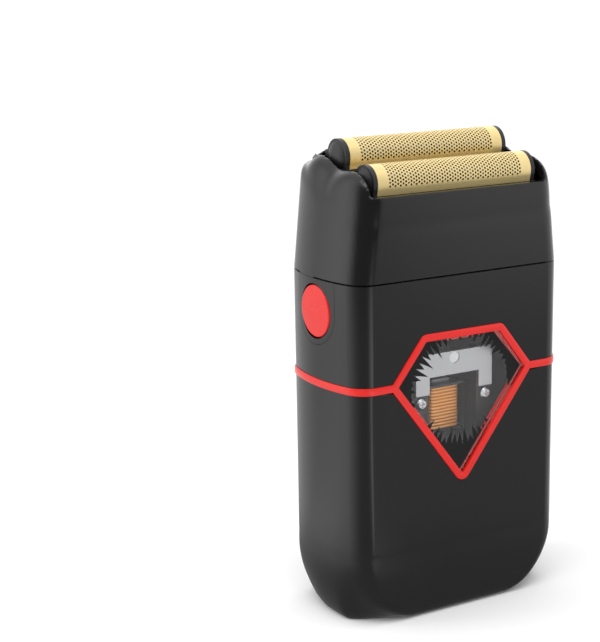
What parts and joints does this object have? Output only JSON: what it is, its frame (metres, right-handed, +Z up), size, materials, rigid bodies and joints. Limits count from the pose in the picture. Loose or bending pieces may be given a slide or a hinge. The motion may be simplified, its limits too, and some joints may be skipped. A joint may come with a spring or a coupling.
{
  "type": "foil shaver",
  "caption": "Handheld double-foil shaver: flat-fronted body with red trim band and diamond motor window, side release buttons, lift-off head with floating gold foils.",
  "frame": {"origin": "middle of the flat bottom face that the shaver stands on", "axes": "+Z up towards the foils, -Y out of the front face with the window, +X to the right seen from the front"},
  "size_m": [0.0666, 0.034, 0.121],
  "materials": {
    "black_shell": "satin moulded black",
    "red_trim": "satin moulded red",
    "lens_clear": "clear moulded window",
    "mask_black": "printed dark film",
    "inner_black": "matte moulded black",
    "inner_grey": "matte moulded grey",
    "seal_rubber": "soft black rubber",
    "bright_plate": "brushed bright plate",
    "core_steel": "laminated electrical steel",
    "copper_wire": "enamelled copper winding",
    "bobbin_plastic": "matte moulded dark",
    "steel": "turned steel",
    "spring_steel": "drawn spring wire",
    "magnet": "nickel-plated magnet",
    "foil_gold": "gold-coated perforated foil",
    "blade_steel": "ground blade steel",
    "cell_wrap": "shrink-wrapped cell",
    "nickel": "nickel strip",
    "board": "green circuit board",
    "chips": "black chip packages",
    "flex": "amber flat cable",
    "light_pipe": "milky light pipe"
  },
  "bodies": {
    "root": {"lower_housing": "black_shell", "upper_housing": "black_shell", "trim_bezel": "red_trim", "window_lens": "lens_clear", "window_mask": "mask_black", "button_insert_left": "black_shell", "button_insert_right": "black_shell", "latch_spring_left": "spring_steel", "latch_spring_right": "spring_steel", "top_deck": "inner_black", "deck_screws": "steel", "dust_seal": "seal_rubber", "stator_core": "core_steel", "coil_bobbin": "bobbin_plastic", "coil_winding": "copper_wire", "motor_front_plate": "bright_plate", "motor_bracket": "inner_black", "motor_screws": "steel", "pivot_shaft": "steel", "centring_springs": "spring_steel", "chassis": "inner_black", "chassis_screws": "steel", "battery": "cell_wrap", "battery_tabs": "nickel", "main_pcb": "board", "pcb_screws": "steel", "pcb_components": "chips", "power_switch": "chips", "status_light": "light_pipe", "charging_socket": "steel", "socket_tongue": "chips", "charge_board": "board", "charge_flex": "flex", "carriage_flexures": "spring_steel"},
    "head": {"head_housing": "black_shell", "foil_cradle_left": "inner_grey", "foil_cradle_right": "inner_grey", "foil_springs_front": "spring_steel", "foil_springs_rear": "spring_steel"},
    "release_button_left": {"release_button_left": "red_trim", "latch_hook_left": "inner_black"},
    "release_button_right": {"release_button_right": "red_trim", "latch_hook_right": "inner_black"},
    "power_button": {"power_button": "black_shell"},
    "armature": {"armature": "inner_grey", "armature_magnets": "magnet", "drive_pin": "steel"},
    "carriage": {"carriage": "inner_grey", "cutter_springs_front": "spring_steel", "cutter_springs_rear": "spring_steel"},
    "foil_front": {"foil_front": "foil_gold", "foil_frame_front": "inner_black"},
    "foil_rear": {"foil_rear": "foil_gold", "foil_frame_rear": "inner_black"},
    "cutter_front": {"cutter_blades_front": "blade_steel", "cutter_carrier_front": "inner_grey"},
    "cutter_rear": {"cutter_blades_rear": "blade_steel", "cutter_carrier_rear": "inner_grey"}
  },
  "joints": [
    {"name": "head_lift", "type": "slide", "parent": "root", "child": "head", "axis": [0, 0, 1], "range_m": [0, 0.04]},
    {"name": "release_right_press", "type": "slide", "parent": "root", "child": "release_button_right", "axis": [-1, 0, 0], "range_m": [0, 0.0015], "stiffness_N_per_m": 900, "springref_m": -0.001, "deforming": ["latch_spring_right"]},
    {"name": "release_left_press", "type": "slide", "parent": "root", "child": "release_button_left", "axis": [1, 0, 0], "range_m": [0, 0.0015], "stiffness_N_per_m": 900, "springref_m": -0.001, "deforming": ["latch_spring_left"]},
    {"name": "power_press", "type": "slide", "parent": "root", "child": "power_button", "axis": [0, -1, 0], "range_m": [0, 0.0006], "stiffness_N_per_m": 900, "springref_m": -0.0005},
    {"name": "carriage_slide", "type": "slide", "parent": "root", "child": "carriage", "axis": [1, 0, 0], "range_m": [-0.00139, 0.00139], "stiffness_N_per_m": 600, "deforming": ["carriage_flexures"]},
    {"name": "armature_swing", "type": "hinge", "parent": "root", "child": "armature", "pos_m": [0, -0.0015, 0.066], "axis": [0, 1, 0], "range_deg": [-2.5, 2.5], "deforming": ["centring_springs"]},
    {"name": "foil_front_float", "type": "slide", "parent": "head", "child": "foil_front", "axis": [0, -0.3746, 0.9272], "range_m": [-0.0012, 0], "stiffness_N_per_m": 700, "springref_m": 0.0006, "deforming": ["foil_springs_front"]},
    {"name": "cutter_front_float", "type": "slide", "parent": "carriage", "child": "cutter_front", "axis": [0, -0.3746, 0.9272], "range_m": [-0.0012, 0], "stiffness_N_per_m": 500, "springref_m": 0.0006, "deforming": ["cutter_springs_front"]},
    {"name": "foil_rear_float", "type": "slide", "parent": "head", "child": "foil_rear", "axis": [0, -0.3746, 0.9272], "range_m": [-0.0012, 0], "stiffness_N_per_m": 700, "springref_m": 0.0006, "deforming": ["foil_springs_rear"]},
    {"name": "cutter_rear_float", "type": "slide", "parent": "carriage", "child": "cutter_rear", "axis": [0, -0.3746, 0.9272], "range_m": [-0.0012, 0], "stiffness_N_per_m": 500, "springref_m": 0.0006, "deforming": ["cutter_springs_rear"]}
  ],
  "couplings": [
    {"joint": "armature_swing", "follows": "carriage_slide", "rad_per_m": 31.25},
    {"joint": "cutter_front_float", "follows": "foil_front_float", "ratio": 1},
    {"joint": "cutter_rear_float", "follows": "foil_rear_float", "ratio": 1}
  ]
}
